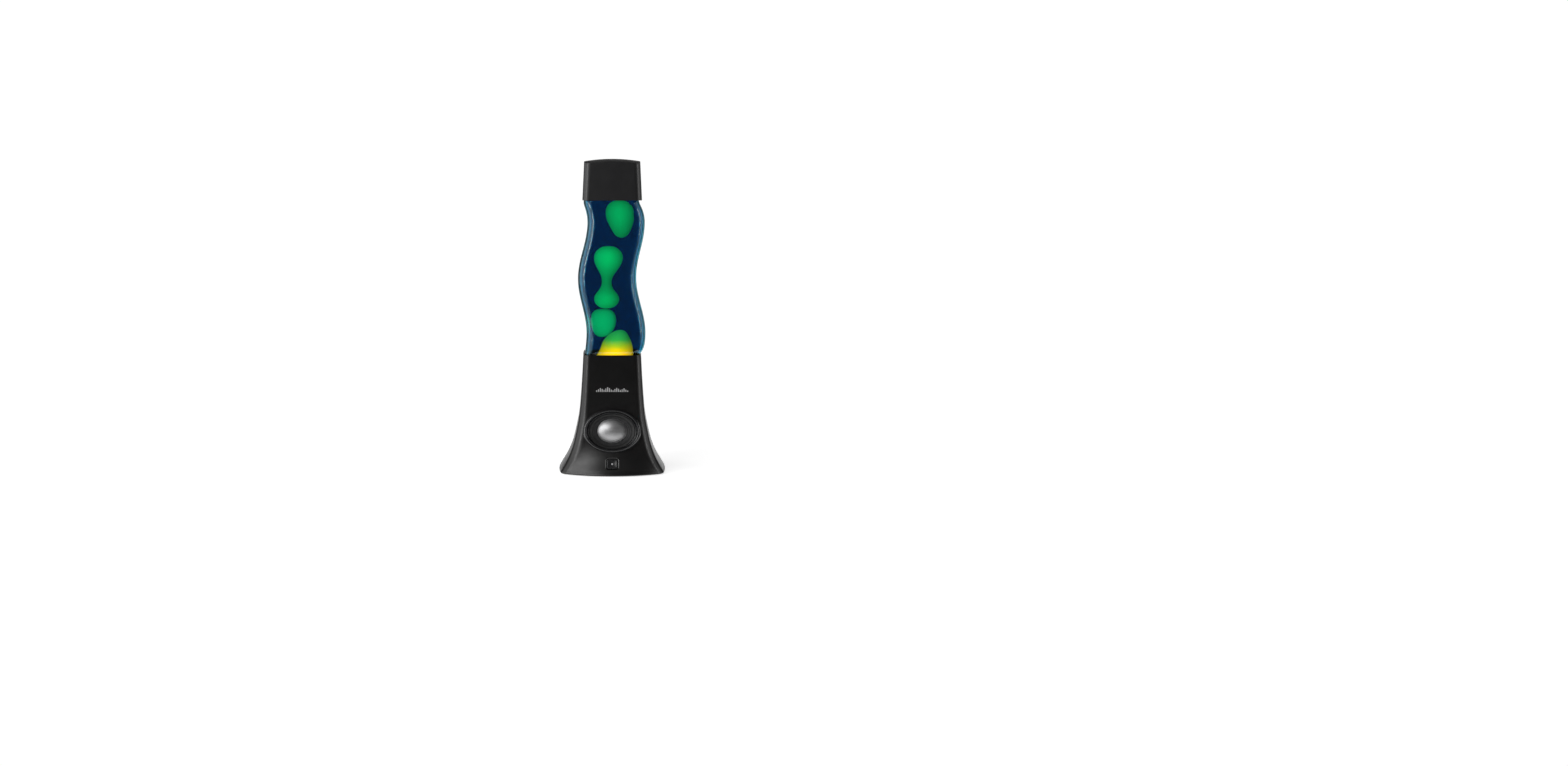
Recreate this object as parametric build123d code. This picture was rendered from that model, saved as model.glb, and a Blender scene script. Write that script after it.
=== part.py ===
"""Lava lamp with a loudspeaker base: a wavy square bottle of coloured liquid and wax under a tapered cap,
standing in a flared square base that holds the bulb, an oval driver, a push button and the boards.

Millimetres, +Z up, origin on the floor under the middle of the base. The front, with the speaker, faces -Y.
"""

import math
import os

from build123d import *

# ---------------------------------------------------------------- driving dimensions
TOTAL_HEIGHT = 406.4          # a 16 inch lamp
FOOT_HEIGHT = 1.2             # how far the rubber feet stand out below the shell
RIM_Z = 154.4                 # top edge of the base
CAP_Z = 353.6                 # lower edge of the cap
SIDE_R = 900.0                # slight crown of the nearly flat sides

# Base outline: height, half width, radius of the bowed front and back, radius of the bowed flanks, corner
# radius. It runs on below the shell's lower edge, where it is cut flat.
BASE_OUTLINE = [
    (-10.0, 76.4, 104.0, 330.0, 15.0),
    (8.0, 66.6, 124.0, 380.0, 15.0),
    (22.0, 58.4, 165.0, 440.0, 14.5),
    (38.0, 51.9, 245.0, 520.0, 13.5),
    (56.0, 47.3, 370.0, 600.0, 13.0),
    (76.0, 43.4, 520.0, 700.0, 12.0),
    (98.0, 41.2, 700.0, 800.0, 11.2),
    (124.0, 39.4, SIDE_R, SIDE_R, 10.5),
    (RIM_Z, 37.8, SIDE_R, SIDE_R, 10.0),
]
BASE_WALL = 2.4
WELL_HALF = 36.35             # the square well that the bottle stands in
WELL_CORNER = 8.6
PARTING_Z = 4.6               # fine groove above the foot's lip
LEDGE_Z = 140.0               # top of the ledge that the bottle stands on
LEDGE_THICK = 3.0
LEDGE_HOLE_R = 28.5

# Bottle: a rounded square tube whose middle line waves from side to side.
GASKET_THICK = 1.2
BOTTLE_Z = LEDGE_Z + GASKET_THICK
PLUG_HALF = 36.0              # the straight part that stands in the base
PLUG_TOP_Z = 154.9
PLUG_CORNER = 12.5
BOTTLE_HALF = 37.9
BOTTLE_BELLY = 0.7            # how much wider it is near the bottom than near the top
BOTTLE_CORNER = 14.0
GLASS_WALL = 3.0
FLOOR_THICK = 4.0
WAVE_MIDDLE = -0.8
WAVE_SWING = 5.8
WAVE_TOP_Z = 325.0            # height of the upper swing to the right
WAVE_LENGTH = 143.0
SHOULDER_Z = 357.0
SHOULDER_HALF = 35.2
SHOULDER_X = 0.2
WAVE_FADE = 0.456             # share of the wave left at the last station under the shoulder
NECK_R = 15.5
NECK_Z = 379.0
BOTTLE_TOP_Z = 396.0
LIQUID_TOP_Z = 369.0
SHOULDER = [
    (SHOULDER_Z, SHOULDER_HALF, SIDE_R, BOTTLE_CORNER, SHOULDER_X),
    (364.5, 33.2, 300.0, 15.0, SHOULDER_X / 2),
    (372.0, 25.6, 70.0, 15.5, 0.0),
    (NECK_Z, NECK_R + 1.0, 17.5, 15.8, 0.0),
]
COIL_RING_R = 29.7
COIL_WIRE_R = 1.1

# Wax that has risen, each body turned from (radius, height) points, then its place in x and y.
UPPER_WAX = (
    [(0, 353.0), (14.5, 347.4), (18.2, 337.0), (17.2, 327.5), (13.4, 317.5), (7.8, 308.0), (0, 304.6)],
    10.4,
    -5.0,
)
MIDDLE_WAX = (
    [(0, 294.0), (15.4, 287.5), (18.5, 279.0), (15.2, 267.5), (7.8, 255.0), (6.2, 246.0), (11.4, 234.6),
     (16.2, 225.2), (12.4, 217.0), (0, 213.0)],
    -6.2,
    -9.0,
)
LOWER_WAX = ([(0, 210.6), (14.0, 206.0), (17.8, 196.4), (14.4, 183.4), (8.2, 176.4), (0, 173.2)], -12.6, 14.5)
# The wax that hasn't risen yet, a leaning bell on the bottle's floor: height, radius and middle of each level.
MOUND = [
    (BOTTLE_Z + FLOOR_THICK, 24.4, 2.8, -2.0),
    (150.8, 24.2, 3.6, -2.3),
    (157.0, 22.2, 5.2, -2.8),
    (164.5, 20.0, 6.1, -3.6),
    (171.5, 17.2, 6.6, -4.6),
    (177.5, 13.2, 7.8, -5.6),
    (181.8, 8.4, 9.2, -6.6),
    (184.4, 3.2, 10.2, -7.2),
]

# Cap
CAP_HALF_BOTTOM = 38.7
CAP_HALF_TOP = 36.2
CAP_CORNER = 9.0
CAP_WALL = 1.5
CAP_DOME_R = 216.0

# Speaker, set square to the front of the base at this height
SPEAKER_Z = 57.3
SPEAKER_FRONT = 48.4          # distance of the bezel's seating plane from the lamp's axis
SPEAKER_TILT = 12.7           # degrees that it looks upward
OVAL = 0.76                   # height of every oval over its width
BEZEL_R = 36.2
HOLE_R = 34.6
FLANGE_R = 37.2
DRIVER_OPEN_R = 32.6
CONE_R = 25.6
COIL_R = 10.0
SEAT_DEPTH = 6.0              # the driver's gasket sits this far behind the seating plane
CONE_TRAVEL = 1.5

# Button, set square to the flared foot below the speaker
BUTTON_Z = 16.5
BUTTON_FRONT = 61.5
BUTTON_TILT = 26.0
BUTTON_SIZE = (13.6, 13.2)
RECESS_SIZE = (18.0, 17.4)
BUTTON_TRAVEL = 0.8
BOARD_THICK = 1.6

# Bulb and lamp holder, on the lamp's axis under the bottle
BULB_TOP_Z = 135.0
BULB_R = 19.5
BULB_TIP_Z = 67.5
SCREW_BASE_R = 6.8
SHIELD_R = 26.5
SHIELD_BOTTOM_Z = 86.0
SHIELD_TOP_Z = 136.0
FLANGE_Z = 130.0

# Bottom of the base
PLATE_Z = 1.8
PLATE_THICK = 2.5
PLATE_TOP = PLATE_Z + PLATE_THICK
POST_TOP = 9.0
FOOT_R = 7.5
FOOT_PLACE = 43.0
SCREW_R = 1.5
# Boards on the bottom plate: middle x, middle y, width, depth
BOARDS = {"power_board": (-27.0, 18.0, 36.0, 52.0), "audio_board": (27.0, 18.0, 36.0, 52.0)}
INLET_Z = 24.0
INLET_SIZE = (22.0, 15.0)
BASE_SCREWS = [(x, y) for x in (-52.0, 52.0) for y in (-14.0, 14.0)]

CLEAR = 0.3                   # gap between pieces that move past each other
UP = (Align.CENTER, Align.CENTER, Align.MIN)

front_plane = Plane(
    origin=(0, -SPEAKER_FRONT, SPEAKER_Z),
    x_dir=(1, 0, 0),
    z_dir=(0, -math.cos(math.radians(SPEAKER_TILT)), math.sin(math.radians(SPEAKER_TILT))),
)
button_plane = Plane(
    origin=(0, -BUTTON_FRONT, BUTTON_Z),
    x_dir=(1, 0, 0),
    z_dir=(0, -math.cos(math.radians(BUTTON_TILT)), math.sin(math.radians(BUTTON_TILT))),
)


# ---------------------------------------------------------------- shared shapes
def corner_centre(half, front_r, flank_r, corner_r):
    """Middle (x, -y) of the corner arc that touches a bowed front of radius front_r and a bowed flank."""
    front_y, flank_x = front_r - half, flank_r - half
    x = y = half - corner_r
    for _ in range(30):
        y = math.sqrt((front_r - corner_r) ** 2 - x**2) - front_y
        x = math.sqrt((flank_r - corner_r) ** 2 - y**2) - flank_x
    return x, y


def bowed_square(z, half, side_r, corner_r, centre_x=0.0, flank_r=None):
    """A flat face at height z: bowed front and back of radius side_r, bowed flanks, tangent corner arcs."""
    flank_r = flank_r or side_r
    x, y = corner_centre(half, side_r, flank_r, corner_r)
    to_front = math.atan2(-(y + side_r - half), x)
    to_flank = math.atan2(-y, x + flank_r - half)
    front_end, middle, flank_end = [
        (x + corner_r * math.cos(a), -y + corner_r * math.sin(a))
        for a in (to_front, (to_front + to_flank) / 2, to_flank)
    ]

    def arc(*points):
        return ThreePointArc(*[(centre_x + px, py, z) for px, py in points])

    edges = []
    for sx, sy in ((1, 1), (-1, -1)):
        front, corner, flank = [(sx * px, sy * py) for px, py in (front_end, middle, flank_end)]
        edges.append(arc((-front[0], front[1]), (0, -sy * half), front))
        edges.append(arc(front, corner, flank))
        edges.append(arc(flank, (sx * half, 0), (flank[0], -flank[1])))
        edges.append(arc((flank[0], -flank[1]), (corner[0], -corner[1]), (front[0], -front[1])))
    return make_face(Wire(edges))


def base_stations(count=18):
    """Evenly spaced stations on a smooth curve through the base's outline."""
    low, high = BASE_OUTLINE[0][0], BASE_OUTLINE[-1][0]
    return [outline_at(low + (high - low) * i / (count - 1)) for i in range(count)]


def outline_at(z):
    """The base's outline at height z, by cubic pieces that share their slopes."""
    rows = BASE_OUTLINE
    i = max(k for k in range(len(rows) - 1) if rows[k][0] <= z + 1e-9)
    a, b = rows[i], rows[i + 1]
    before, after = rows[max(i - 1, 0)], rows[min(i + 2, len(rows) - 1)]
    span = b[0] - a[0]
    t = (z - a[0]) / span
    values = [z]
    for k in range(1, len(a)):
        slope_a = (b[k] - before[k]) / (b[0] - before[0]) * span
        slope_b = (after[k] - a[k]) / (after[0] - a[0]) * span
        values.append(
            (2 * t**3 - 3 * t**2 + 1) * a[k] + (t**3 - 2 * t**2 + t) * slope_a
            + (3 * t**2 - 2 * t**3) * b[k] + (t**3 - t**2) * slope_b
        )
    return tuple(values)


def base_loft(inset=0.0):
    """A smooth solid through the base's stations, each made smaller by inset."""
    faces = [
        bowed_square(z, half - inset, front_r - inset, corner_r - inset, flank_r=flank_r - inset)
        for z, half, front_r, flank_r, corner_r in base_stations()
    ]
    return loft(faces)


def loft_through(stations, inset=0.0):
    """A smooth solid through stations of (z, half, side_r, corner_r[, centre_x]), made smaller by inset."""
    faces = [
        bowed_square(s[0], s[1] - inset, s[2] - inset, s[3] - inset, *s[4:])
        for s in stations
    ]
    return loft(faces)


def slab(z0, z1, size=400.0):
    return Pos(0, 0, z0) * Box(size, size, z1 - z0, align=UP)


def upright(r, z0, z1, x=0.0, y=0.0):
    return Pos(x, y, z0) * Cylinder(r, z1 - z0, align=UP)


def ring(r_out, r_in, z0, z1, x=0.0, y=0.0):
    return upright(r_out, z0, z1, x, y) - upright(r_in, z0 - 1, z1 + 1, x, y)


def turned(points):
    """Revolves a closed outline of (radius, height) points about the Z axis."""
    outline = Plane.XZ * make_face(Polyline(*points, close=True))
    return revolve(outline, axis=Axis.Z)


def oval(shape):
    """Flattens a turned shape to the speaker's oval."""
    return scale(shape, by=(1, OVAL, 1))


def rounded_block(size, corner, z0, z1):
    return Pos(0, 0, z0) * extrude(RectangleRounded(*size, corner), z1 - z0)


def pan_screw(shank_r, length, head_r, head_h):
    """A screw along +Z with its head below the origin and its shank above."""
    head = upright(head_r, -head_h, 0)
    head = head - Pos(0, 0, -head_h + 0.4) * Box(head_r * 1.3, 0.6, 0.8)
    head = head - Pos(0, 0, -head_h + 0.4) * Box(0.6, head_r * 1.3, 0.8)
    return head + upright(shank_r, 0, length)


def group(shapes):
    return Compound(children=list(shapes))


def save(name, shape):
    export_step(shape, f"parts/{name}.step")


# ---------------------------------------------------------------- bottle, liquid and wax
def wave(z):
    """Sideways place of the bottle's middle line at height z."""
    return WAVE_MIDDLE + WAVE_SWING * math.cos(2 * math.pi * (z - WAVE_TOP_Z) / WAVE_LENGTH)


def body_stations():
    """The visible length of the bottle, from its straight foot to its shoulder."""
    stations = [(PLUG_TOP_Z, PLUG_HALF, SIDE_R, PLUG_CORNER, 0.0)]
    count = 14
    first = PLUG_TOP_Z + 8.5
    step = (SHOULDER_Z - 13.0 - first) / (count - 1)
    for i in range(count):
        z = first + step * i
        half = BOTTLE_HALF + BOTTLE_BELLY * math.cos(math.pi * (z - first - 12) / 170.0)
        half -= {0: 0.5, count - 1: 0.4}.get(i, 0.0)
        share = WAVE_FADE if i == count - 1 else 1.0
        stations.append((z, half, SIDE_R, BOTTLE_CORNER, share * wave(z)))
    stations.append((SHOULDER_Z, SHOULDER_HALF, SIDE_R, BOTTLE_CORNER, SHOULDER_X))
    return stations


def bottle_solid(inset, foot_z):
    """The bottle's outside, or its hollow when inset by the wall, from foot_z to the bottom of the neck."""
    foot = extrude(
        bowed_square(foot_z, PLUG_HALF - inset, SIDE_R - inset, PLUG_CORNER - inset), PLUG_TOP_Z - foot_z
    )
    foot = fillet(foot.edges().group_by(Axis.Z)[0], 4.0 - inset / 2)
    return foot + loft_through(body_stations(), inset) + loft_through(SHOULDER, inset)


def make_bottle():
    """The glass, and the solid that fills its hollow."""
    hollow = bottle_solid(GLASS_WALL, BOTTLE_Z + FLOOR_THICK) + upright(NECK_R - 2.5, NECK_Z - 1, BOTTLE_TOP_Z)
    glass = bottle_solid(0.0, BOTTLE_Z) + upright(NECK_R, NECK_Z - 1, BOTTLE_TOP_Z)
    for z in (384.5, 388.5, 392.5):
        glass = glass + Pos(0, 0, z) * Torus(NECK_R, 0.7)
    return glass - hollow, hollow


def blob(points, x, y, grow=0.0):
    """Wax turned from a smooth outline of (radius, height) points; grow makes it larger all round."""
    top, *sides, bottom = points
    path = [(0, top[1] + grow)]
    path += [(r + grow, z) for r, z in sides]
    path += [(0, bottom[1] - grow)]
    skin = Spline(*path, tangents=[(1, 0), (-1, 0)], tangent_scalars=[1.0, 1.0])
    outline = Plane.XZ * make_face([skin, Line((0, bottom[1] - grow), (0, top[1] + grow))])
    return Pos(x, y, 0) * revolve(outline, axis=Axis.Z)


def make_filling(hollow):
    """Liquid, wax and the wire ring on the bottle's floor."""
    floor = BOTTLE_Z + FLOOR_THICK
    coil = Pos(0, 0, floor + 0.8 * COIL_WIRE_R) * Torus(COIL_RING_R, COIL_WIRE_R) & slab(floor, floor + 5)
    mound = loft([Pos(x, y, z) * Circle(r) for z, r, x, y in MOUND])
    drifting = {"wax_blob_upper": UPPER_WAX, "wax_blob_middle": MIDDLE_WAX, "wax_blob_lower": LOWER_WAX}
    liquid = (hollow & slab(floor, LIQUID_TOP_Z)) - mound - coil
    for name, wax in drifting.items():
        liquid = liquid - blob(*wax, grow=CLEAR)
        save(name, blob(*wax))
    save("lamp_liquid", liquid)
    save("wax_mound", mound)
    save("wire_coil", coil)


def make_closure():
    """Screw closure with a grip of fine ribs, and the liner that seals it."""
    top = BOTTLE_TOP_Z + 3.0
    skirt = Pos(0, 0, 381.5) * extrude(RegularPolygon(19.0, 36), top - 381.5)
    skirt = skirt - upright(NECK_R + 1.0, 380, BOTTLE_TOP_Z + 1.0)
    liner = upright(NECK_R + 0.6, BOTTLE_TOP_Z, BOTTLE_TOP_Z + 1.0)
    save("bottle_closure", skirt)
    save("closure_liner", liner)


# ---------------------------------------------------------------- cap
def dome(lift=0.0):
    return Pos(0, 0, TOTAL_HEIGHT - CAP_DOME_R) * Sphere(CAP_DOME_R - lift)


def make_cap():
    outer = loft([
        bowed_square(CAP_Z, CAP_HALF_BOTTOM, SIDE_R, CAP_CORNER),
        bowed_square(TOTAL_HEIGHT, CAP_HALF_TOP, SIDE_R, CAP_CORNER),
    ]) & dome()
    rim = outer.edges().filter_by(lambda e: e.center().Z > TOTAL_HEIGHT - 8)
    outer = fillet(rim, 0.9)
    inner = loft([
        bowed_square(CAP_Z - 1, CAP_HALF_BOTTOM - CAP_WALL, SIDE_R, CAP_CORNER - CAP_WALL),
        bowed_square(TOTAL_HEIGHT, CAP_HALF_TOP - CAP_WALL, SIDE_R, CAP_CORNER - CAP_WALL),
    ]) & dome(CAP_WALL)
    cap = outer - inner
    closure_top = BOTTLE_TOP_Z + 3.0
    supports = [ring(12.0, 9.5, closure_top, TOTAL_HEIGHT)]
    for turn in range(4):
        rib = Pos(19.25, 0, 386.0) * Box(18.0, 1.6, 20.0, align=(Align.MIN, Align.CENTER, Align.MIN))
        supports.append(Rot(0, 0, 90 * turn) * rib)
    cap = cap + (outer & supports)
    save("top_cap", cap)


# ---------------------------------------------------------------- base shell
def base_outer():
    outer = base_loft() & slab(FOOT_HEIGHT, RIM_Z)
    outer = fillet(outer.edges().group_by(Axis.Z)[0], 1.2)
    return fillet(outer.edges().group_by(Axis.Z)[-1], 0.5)


def base_inner():
    """The base's hollow, up to the underside of the ledge."""
    return base_loft(BASE_WALL) & slab(FOOT_HEIGHT - 1, LEDGE_Z - LEDGE_THICK)


def speaker_boss():
    """An oval wall behind the front that gives the driver a flat seat."""
    wall = Pos(0, 0, -SEAT_DEPTH) * extrude(
        Ellipse(FLANGE_R + 0.8, (FLANGE_R + 0.8) * OVAL) - Ellipse(HOLE_R, HOLE_R * OVAL), SEAT_DEPTH + 3
    )
    return front_plane.location * wall


def speaker_screw_places():
    """Local places of the driver's four screws, on the boss around the opening."""
    r = (FLANGE_R + DRIVER_OPEN_R) / 2 + 0.9
    return [(r * math.cos(a), r * OVAL * math.sin(a)) for a in (math.radians(45 + 90 * i) for i in range(4))]


def board_bosses():
    """Posts behind the foot that carry the button's board."""
    return [button_plane.location * Pos(x, 7.5, -11.5) * Cylinder(2.6, 14, align=UP) for x in (-16.0, 16.0)]


def shield_boss_places():
    r = SHIELD_R + 5.6
    return [(r * math.cos(a), r * math.sin(a)) for a in (math.radians(45 + 90 * i) for i in range(4))]


def inlet_block(grow=0.0):
    size = (INLET_SIZE[0] + 2 * grow, 60.0, INLET_SIZE[1] + 2 * grow)
    return Pos(0, 40.0, INLET_Z) * Box(*size, align=(Align.CENTER, Align.MIN, Align.CENTER))


def make_shell(outer):
    """The base's outer shell with its ledge, seats, bosses and openings."""
    bosses = [speaker_boss()] + board_bosses()
    bosses += [upright(3.2, FLANGE_Z + 1.0, LEDGE_Z - LEDGE_THICK + 0.5, x, y) for x, y in shield_boss_places()]
    bosses += [upright(4.2, PLATE_TOP, 34.0, x, y) for x, y in BASE_SCREWS]
    shell = (outer - base_inner()) + (outer & bosses)

    well = extrude(bowed_square(LEDGE_Z, WELL_HALF, SIDE_R, WELL_CORNER), RIM_Z + 1 - LEDGE_Z)
    groove = (outer - base_loft(0.5)) & slab(PARTING_Z, PARTING_Z + 0.4)
    cuts = [well, groove, upright(LEDGE_HOLE_R, LEDGE_Z - LEDGE_THICK - 1, LEDGE_Z + 1), inlet_block(grow=0.1)]
    for i in range(8):
        a = math.radians(22.5 + 45 * i)
        cuts.append(upright(1.8, LEDGE_Z - LEDGE_THICK - 1, LEDGE_Z + 1, 31.6 * math.cos(a), 31.6 * math.sin(a)))
    cuts += [upright(SCREW_R, FLANGE_Z, FLANGE_Z + 6.0, x, y) for x, y in shield_boss_places()]
    cuts += [upright(SCREW_R, PLATE_TOP - 1, PLATE_TOP + 9.0, x, y) for x, y in BASE_SCREWS]

    seat = front_plane.location
    cuts.append(seat * Pos(0, 0, -20) * extrude(Ellipse(HOLE_R, HOLE_R * OVAL), 40))
    pocket = Ellipse(FLANGE_R + 0.3, (FLANGE_R + 0.3) * OVAL)
    cuts.append(seat * Pos(0, 0, -30) * extrude(pocket, 30 - SEAT_DEPTH))
    cuts += [seat * Pos(x, y, -SEAT_DEPTH - 1) * Cylinder(0.9, 4.0, align=UP) for x, y in speaker_screw_places()]
    cuts.append(button_plane.location * rounded_block(RECESS_SIZE, 3.6, -6.5, 10))
    cuts += [button_plane.location * Pos(x, 7.5, -12) * Cylinder(0.9, 5.0, align=UP) for x in (-16.0, 16.0)]
    return shell - cuts


def make_bottom():
    plate = base_loft(BASE_WALL + 0.3) & slab(PLATE_Z, PLATE_TOP)
    for i in range(7):
        slot = Pos(6.0 * (i - 3), 0, PLATE_Z - 1) * extrude(SlotOverall(38.0, 2.6, rotation=90), PLATE_THICK + 2)
        plate = plate - slot
    for x, y in foot_places():
        plate = plate - upright(FOOT_R, PLATE_Z - 1, PLATE_Z + 1.2, x, y)
    for x, y in BASE_SCREWS:
        plate = plate - upright(SCREW_R + 0.2, PLATE_Z - 1, PLATE_TOP + 1, x, y)
        plate = plate - upright(3.2, PLATE_Z - 1, PLATE_Z + 1.3, x, y)
    for x, y in board_post_places():
        plate = plate + upright(2.8, PLATE_TOP - 0.2, POST_TOP, x, y)
    for x, y in board_post_places():
        plate = plate - upright(0.9, PLATE_TOP, POST_TOP + 1, x, y)
    save("bottom_plate", plate)

    for i, (x, y) in enumerate(foot_places()):
        foot = upright(FOOT_R, 0, PLATE_Z + 1.2, x, y)
        foot = fillet(foot.edges().group_by(Axis.Z)[0], 0.6)
        save(f"foot_{i + 1}", foot)
    screw = pan_screw(SCREW_R, 8.5, 2.9, 1.2)
    save("bottom_screws", group(Pos(x, y, PLATE_Z + 1.3) * screw for x, y in BASE_SCREWS))


def foot_places():
    return [(x, y) for x in (-FOOT_PLACE, FOOT_PLACE) for y in (-FOOT_PLACE, FOOT_PLACE)]


# ---------------------------------------------------------------- speaker
def make_speaker(outer):
    seat = front_plane.location
    lip = turned([
        (HOLE_R - 4.6, -2.2), (HOLE_R - 4.2, -1.3), (HOLE_R - 3.4, -1.1), (HOLE_R - 2.9, -1.6),
        (HOLE_R - 2.4, -0.6), (HOLE_R - 1.6, 1.2), (HOLE_R - 0.6, 2.2), (HOLE_R + 0.3, 2.5),
        (BEZEL_R - 0.4, 2.0), (BEZEL_R, 1.0), (BEZEL_R, -5.4), (HOLE_R - 2.2, -5.4), (HOLE_R - 2.2, -2.2),
    ])
    plug = turned([(HOLE_R - 4.6, -2.2), (HOLE_R - 4.2, -1.3), (HOLE_R - 0.1, -1.3), (HOLE_R - 0.1, -5.6),
                   (HOLE_R - 2.2, -5.6), (HOLE_R - 2.2, -2.2)])
    bezel = (seat * oval(lip) - outer) + seat * oval(plug)
    save("speaker_bezel", bezel)

    z = -SEAT_DEPTH
    gasket = oval(ring(FLANGE_R, DRIVER_OPEN_R, z - 0.8, z))
    z -= 0.8
    flange = oval(ring(FLANGE_R, DRIVER_OPEN_R, z - 1.5, z))
    dish_outer = loft([Pos(0, 0, -17.0) * Ellipse(16.4, 15.2),
                       Pos(0, 0, z - 1.2) * Ellipse(DRIVER_OPEN_R + 1.1, DRIVER_OPEN_R * OVAL + 1.1)])
    dish_inner = loft([Pos(0, 0, -17.0) * Ellipse(15.2, 14.0),
                       Pos(0, 0, z - 1.2) * Ellipse(DRIVER_OPEN_R + 0.3, DRIVER_OPEN_R * OVAL + 0.3)])
    dish = dish_outer - dish_inner
    for a in range(4):
        window = Rot(0, 0, 90 * a) * (Pos(26.0, 0, -13.2) * Box(26.0, 17.0, 3.6))
        dish = dish - window
    back = ring(17.6, 10.7, -18.2, -16.8)
    tabs = [Pos(x, -18.0, -18.2) * Box(4.0, 4.5, 1.2, align=UP) for x in (-6.0, 6.0)]
    basket = flange + dish + back + ring(15.9, 14.6, -17.5, -14.1) + tabs
    for x, y in speaker_screw_places():
        hole = Pos(x, y, -12) * Cylinder(1.1, 8, align=UP)
        basket = basket - hole
        gasket = gasket - hole
    save("speaker_gasket", seat * gasket)
    save("speaker_basket", seat * basket)

    save("magnet_top_plate", seat * ring(15.0, 10.7, -20.2, -18.2))
    save("speaker_magnet", seat * ring(16.5, 11.5, -25.4, -20.2))
    yoke = upright(15.0, -27.4, -25.4) + upright(9.3, -25.4, -18.4)
    save("speaker_yoke", seat * yoke)

    former = ring(COIL_R, COIL_R - 0.3, -21.5, -11.8)
    winding = ring(COIL_R + 0.35, COIL_R - 0.05, -21.3, -17.4)
    save("voice_coil", seat * (former + winding))
    cone_outer = loft([Pos(0, 0, -12.6) * Circle(COIL_R + 0.6),
                       Pos(0, 0, -7.4) * Ellipse(CONE_R, CONE_R * OVAL)])
    cone_inner = loft([Pos(0, 0, -12.0) * Circle(COIL_R + 0.6),
                       Pos(0, 0, -6.8) * Ellipse(CONE_R, CONE_R * OVAL)])
    cone = (cone_outer + upright(COIL_R + 0.6, -13.2, -12.6)) - cone_inner - upright(COIL_R, -14, -5)
    save("speaker_cone", seat * cone)

    surround = turned([
        (CONE_R, -6.8), (CONE_R + 0.6, -5.2), (CONE_R + 2.0, -4.0), (CONE_R + 3.5, -3.6), (CONE_R + 5.0, -4.0),
        (CONE_R + 6.4, -5.2), (DRIVER_OPEN_R, -7.2), (DRIVER_OPEN_R, -8.0), (CONE_R + 6.0, -5.8),
        (CONE_R + 4.8, -4.6), (CONE_R + 3.5, -4.2), (CONE_R + 2.2, -4.6), (CONE_R + 1.2, -5.8),
        (CONE_R + 0.1, -7.3),
    ])
    save("speaker_surround", seat * oval(surround))
    spider = turned([
        (COIL_R + 0.6, -14.0), (COIL_R + 0.6, -13.5), (12.0, -13.0), (13.2, -13.6), (14.4, -13.0), (14.8, -13.6),
        (15.6, -13.6), (15.6, -14.1), (14.8, -14.1), (14.4, -13.5), (13.2, -14.1), (12.0, -13.5),
    ])
    save("speaker_spider", seat * spider)

    share = 0.59
    cap_r = COIL_R + 0.6 + (CONE_R - COIL_R - 0.6) * share
    cap_z = -12.0 + 5.2 * share
    rise = 6.0
    ball_r = (cap_r**2 + rise**2) / (2 * rise)
    dust = Pos(0, 0, cap_z + rise - ball_r) * (Sphere(ball_r) - Sphere(ball_r - 0.4))
    dust = dust & slab(cap_z, cap_z + rise + 1, 60)
    save("dust_cap", seat * scale(dust, by=(1, 0.785, 1)))

    screw = pan_screw(0.9, 4.8, 1.7, 1.2)
    screws = group(Pos(x, y, z - 1.5) * screw for x, y in speaker_screw_places())
    save("speaker_screws", seat * screws)


# ---------------------------------------------------------------- button and its board
def make_button(outer):
    seat = button_plane.location
    inward = button_plane.z_dir * -1
    frame = rounded_block((RECESS_SIZE[0] - 0.1, RECESS_SIZE[1] - 0.1), 3.5, -4.2, 5.0)
    frame = frame - rounded_block((BUTTON_SIZE[0] + 0.5, BUTTON_SIZE[1] + 0.5), 2.8, -5.0, 6.0)
    save("button_bezel", (seat * frame) & (Pos(*(inward * 0.7)) * outer))
    key = rounded_block(BUTTON_SIZE, 2.6, -4.2, 5.0)
    key = (seat * key) & (Pos(*(inward * 0.35)) * outer)
    under = rounded_block((15.6, 15.2), 3.0, -5.2, -4.2) + upright(2.0, -7.2, -5.2)
    save("push_button", key + seat * under)

    save("switch_plunger", seat * upright(1.6, -9.4, -7.2))
    case = Pos(0, 0, -11.5) * Box(6, 6, 3.2, align=UP)
    save("tact_switch", seat * (case - upright(1.66, -10.6, -8.0)))
    board = Pos(0, 4.5, -11.5 - BOARD_THICK) * Box(40, 20, BOARD_THICK, align=UP)
    for x in (-16.0, 16.0):
        board = board - Pos(x, 7.5, 0) * upright(1.1, -15, -10)
    save("button_board", seat * board)
    screws = group(Pos(x, 7.5, -11.5 - BOARD_THICK) * pan_screw(0.9, 4.8, 2.0, 1.2) for x in (-16.0, 16.0))
    save("button_board_screws", seat * screws)


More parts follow.
